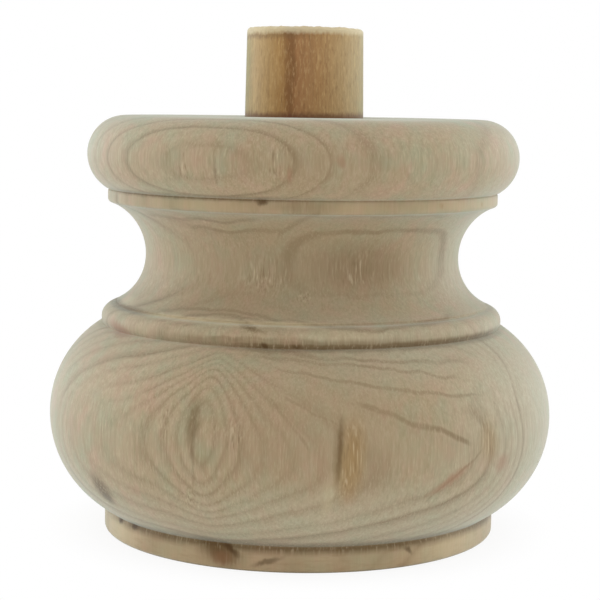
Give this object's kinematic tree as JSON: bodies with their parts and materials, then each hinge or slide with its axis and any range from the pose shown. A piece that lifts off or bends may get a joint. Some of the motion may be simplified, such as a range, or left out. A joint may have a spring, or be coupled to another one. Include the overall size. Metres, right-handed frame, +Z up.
{
  "type": "furniture foot",
  "caption": "Turned wooden foot with a round cap, hollow neck and bulging base, and a dowel on top that fits a drilled hole in the furniture above.",
  "frame": {"origin": "centre of the flat sole that rests on the floor", "axes": "+Z up the lathe axis, towards the dowel; X and Y lie in the sole"},
  "size_m": [0.1082, 0.1082, 0.1079],
  "materials": {
    "body_wood": "raw, sanded, matte",
    "dowel_wood": "raw, sawn and turned, matte"
  },
  "bodies": {
    "root": {"turned_body": "body_wood", "dowel_pin": "dowel_wood"}
  },
  "joints": []
}
